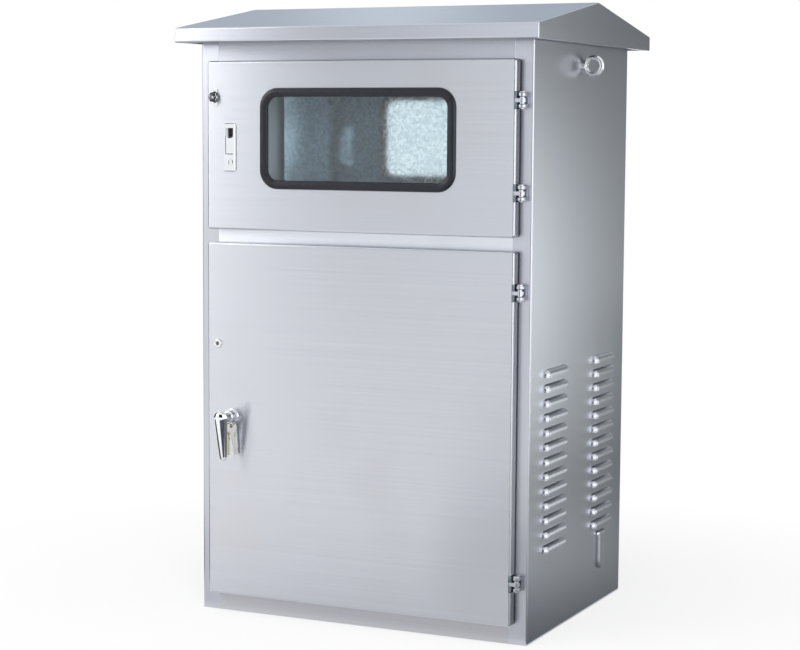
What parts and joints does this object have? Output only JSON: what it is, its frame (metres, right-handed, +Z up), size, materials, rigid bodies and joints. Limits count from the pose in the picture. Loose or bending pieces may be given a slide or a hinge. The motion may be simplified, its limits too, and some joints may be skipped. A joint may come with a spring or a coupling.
{
  "type": "electric meter box",
  "caption": "Stainless steel outdoor electric meter box with louvred sides, a gabled rain roof, a windowed upper door, and a lower door with a drop handle and keys.",
  "frame": {"origin": "middle of the box's underside, on the surface it stands on", "axes": "+Z up, -Y out of the doors, +X to the right of someone who faces them"},
  "size_m": [0.672, 0.5644, 1.034],
  "materials": {
    "stainless_sheet": "brushed",
    "galvanised_sheet": "spangled zinc coat",
    "zinc_fastener": "bright zinc",
    "chrome": "polished",
    "brass": "dull",
    "nickel": "satin nickel",
    "rubber": "satin",
    "foam": "matt",
    "glass": "clear"
  },
  "bodies": {
    "cabinet": {"side_panel_left": "stainless_sheet", "side_panel_right": "stainless_sheet", "back_panel": "stainless_sheet", "floor_pan": "stainless_sheet", "top_pan": "stainless_sheet", "top_rail": "stainless_sheet", "mid_rail": "stainless_sheet", "bottom_rail": "stainless_sheet", "shelf_partition": "stainless_sheet", "rain_roof": "stainless_sheet", "roof_gable_left": "stainless_sheet", "roof_gable_right": "stainless_sheet", "roof_saddle_left": "stainless_sheet", "roof_saddle_right": "stainless_sheet", "roof_rivets": "zinc_fastener", "meter_plate": "galvanised_sheet", "lower_plate": "galvanised_sheet", "plate_standoffs": "galvanised_sheet", "plate_nuts": "zinc_fastener", "earth_stud": "brass", "earth_nut": "zinc_fastener", "eyebolts": "zinc_fastener", "eyebolt_nuts": "zinc_fastener", "floor_cable_trim": "rubber", "shelf_cable_trim": "rubber", "seal_staple": "zinc_fastener", "hinge_pins": "zinc_fastener", "upper_hinge_bracket_top": "stainless_sheet", "upper_hinge_bracket_bottom": "stainless_sheet", "lower_hinge_bracket_top": "stainless_sheet", "lower_hinge_bracket_bottom": "stainless_sheet"},
    "upper_door": {"upper_door_panel": "stainless_sheet", "upper_door_gasket": "foam", "window_seal": "rubber", "window_filler": "rubber", "window_glass": "glass", "plane_lock_housing": "chrome", "seal_slot_plate": "chrome", "upper_hinge_tongue_top": "stainless_sheet", "upper_hinge_tongue_bottom": "stainless_sheet"},
    "lower_door": {"lower_door_panel": "stainless_sheet", "lower_door_gasket": "foam", "handle_base": "chrome", "handle_nut": "zinc_fastener", "key_ring": "nickel", "brass_key": "brass", "nickel_key": "nickel", "lower_lock_body": "chrome", "lower_lock_nut": "zinc_fastener", "lower_hinge_tongue_top": "stainless_sheet", "lower_hinge_tongue_bottom": "stainless_sheet"},
    "plane_lock_pull": {"plane_lock_lever": "chrome"},
    "plane_lock_core": {"plane_lock_plug": "chrome", "plane_lock_cam": "zinc_fastener"},
    "drop_handle": {"handle_lever": "chrome", "handle_cam": "zinc_fastener", "handle_cam_nut": "zinc_fastener"},
    "lower_lock_core": {"lower_lock_plug": "chrome", "lower_lock_cam": "zinc_fastener"}
  },
  "joints": [
    {"name": "upper_door_hinge", "type": "hinge", "parent": "cabinet", "child": "upper_door", "pos_m": [0.2855, -0.2375, 0.795], "axis": [0, 0, 1], "range_deg": [0, 120]},
    {"name": "lower_door_hinge", "type": "hinge", "parent": "cabinet", "child": "lower_door", "pos_m": [0.2855, -0.2375, 0.3325], "axis": [0, 0, 1], "range_deg": [0, 120]},
    {"name": "plane_lock_pull", "type": "hinge", "parent": "upper_door", "child": "plane_lock_pull", "pos_m": [-0.23425, -0.245, 0.783], "axis": [1, 0, 0], "range_deg": [0, 40], "stiffness_Nm_per_rad": 0.03},
    {"name": "plane_lock_key", "type": "hinge", "parent": "upper_door", "child": "plane_lock_core", "pos_m": [-0.23425, -0.23, 0.767], "axis": [0, -1, 0], "range_deg": [0, 90]},
    {"name": "handle_turn", "type": "hinge", "parent": "lower_door", "child": "drop_handle", "pos_m": [-0.23, -0.26, 0.34], "axis": [0, -1, 0], "range_deg": [0, 90]},
    {"name": "lower_lock_key", "type": "hinge", "parent": "lower_door", "child": "lower_lock_core", "pos_m": [-0.258, -0.23, 0.462], "axis": [0, -1, 0], "range_deg": [0, 90]}
  ]
}
